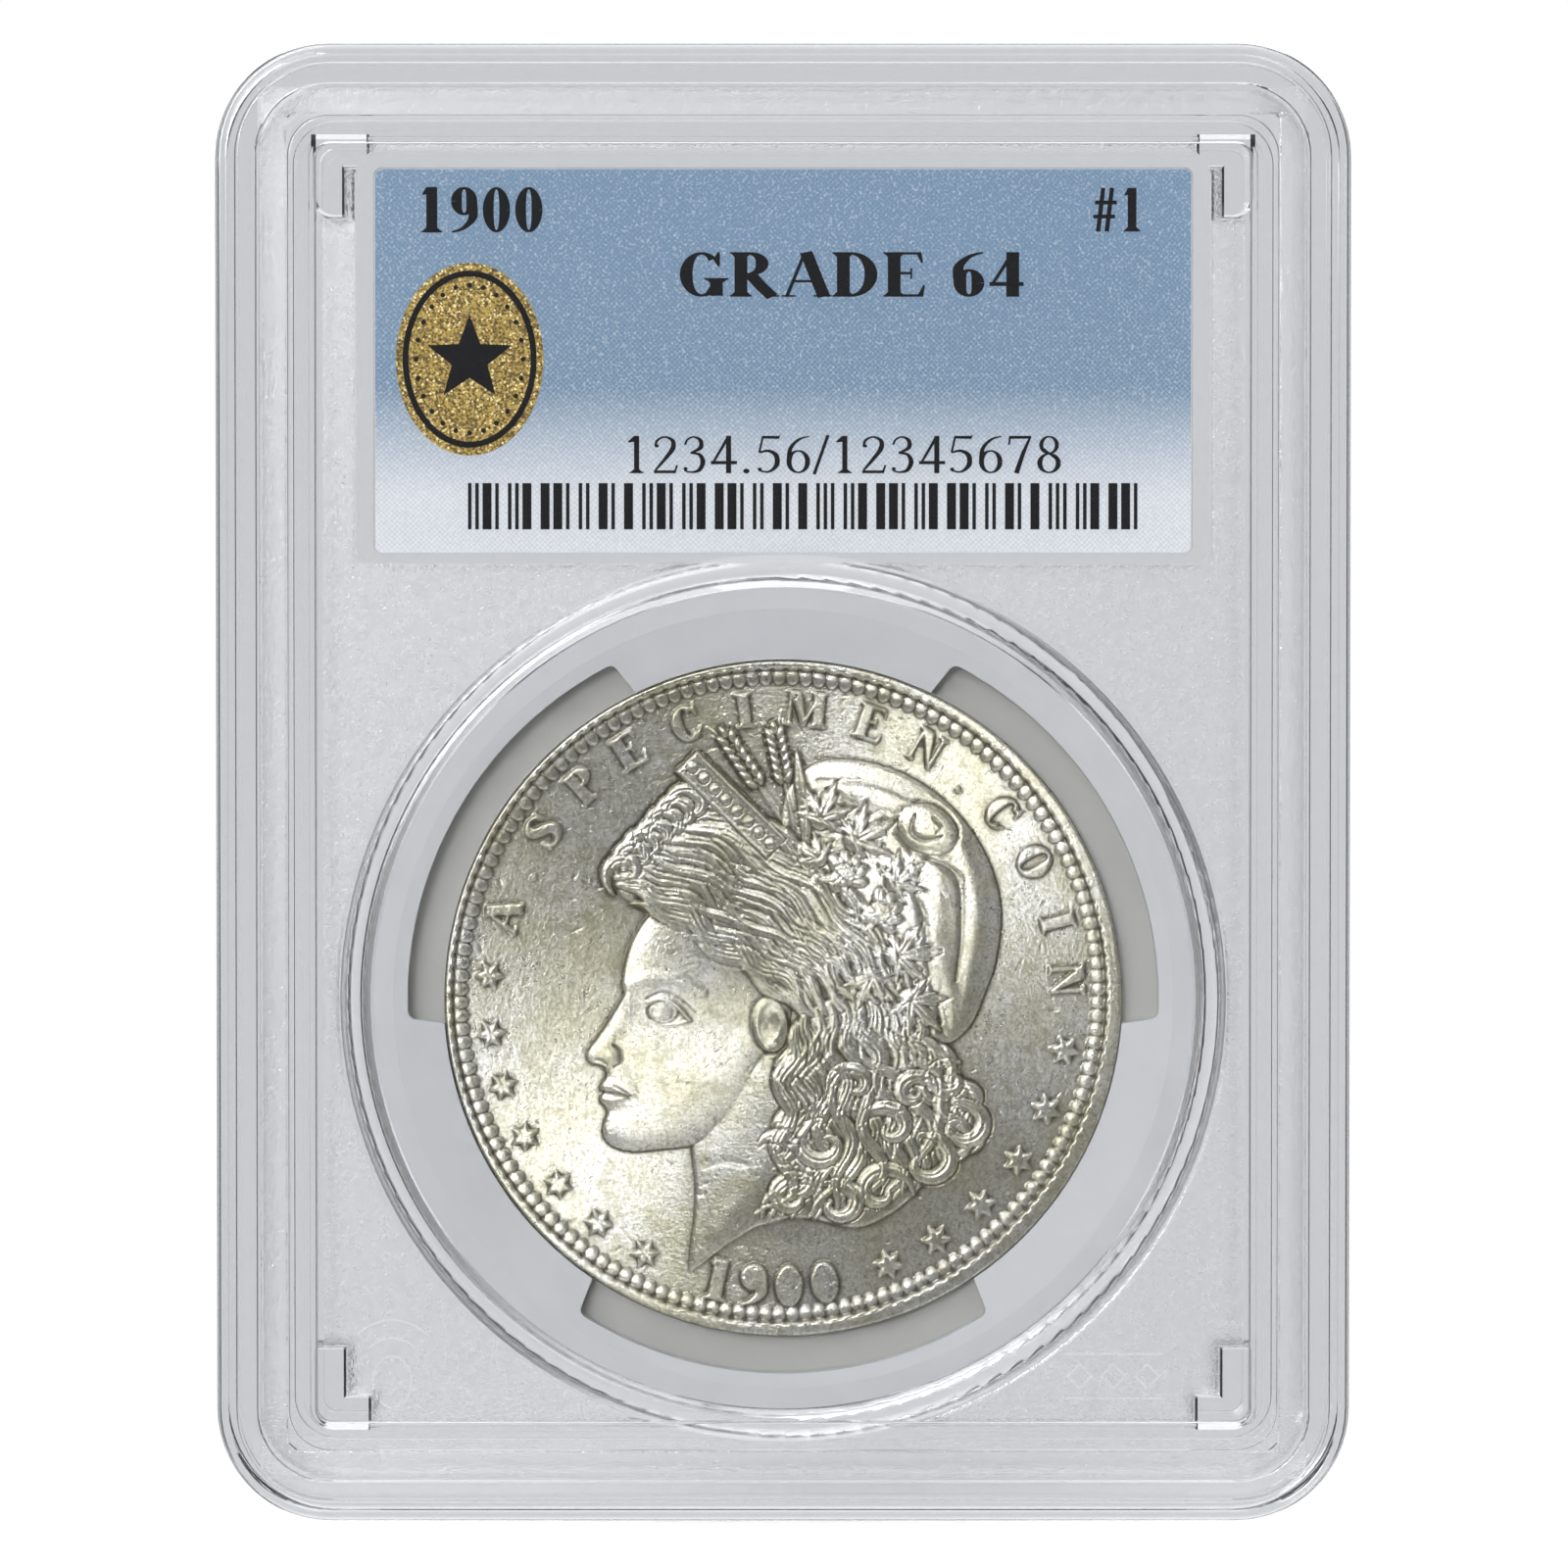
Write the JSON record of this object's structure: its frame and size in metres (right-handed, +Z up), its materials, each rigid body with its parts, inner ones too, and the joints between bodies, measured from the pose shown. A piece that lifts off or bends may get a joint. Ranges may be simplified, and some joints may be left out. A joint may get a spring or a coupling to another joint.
{
  "type": "graded coin slab",
  "caption": "Clear welded two-shell coin holder with a silver coin in a padded ring, printed paper labels and a radio tag between them.",
  "frame": {"origin": "centre of the bottom edge, on the plane midway through the thickness", "axes": "+Z up the slab, +X across it to the right as the label is read, +Y through the thickness to the rear"},
  "size_m": [0.0636, 0.008, 0.0828],
  "materials": {
    "clear_front": "clear polystyrene, polished, with a fine texture on the panel",
    "clear_rear": "clear polystyrene, polished, with a fine texture on the panel",
    "gasket": "satin translucent elastomer",
    "silver": "struck silver with cartwheel lustre",
    "label_front": "coated label paper with a halftone tint",
    "label_rear": "coated label paper with a halftone tint",
    "gold_foil": "glittering gold foil print",
    "film": "clear polyester film",
    "coil": "etched foil",
    "chip": "black chip with a bare top"
  },
  "bodies": {
    "root": {"front_shell": "clear_front", "rear_shell": "clear_rear", "coin_gasket": "gasket", "silver_coin": "silver", "front_label": "label_front", "rear_label": "label_rear", "front_seal": "gold_foil", "rear_seal": "gold_foil", "tag_film": "film", "tag_coil": "coil", "tag_chip": "chip", "tag_strap": "coil"}
  },
  "joints": []
}
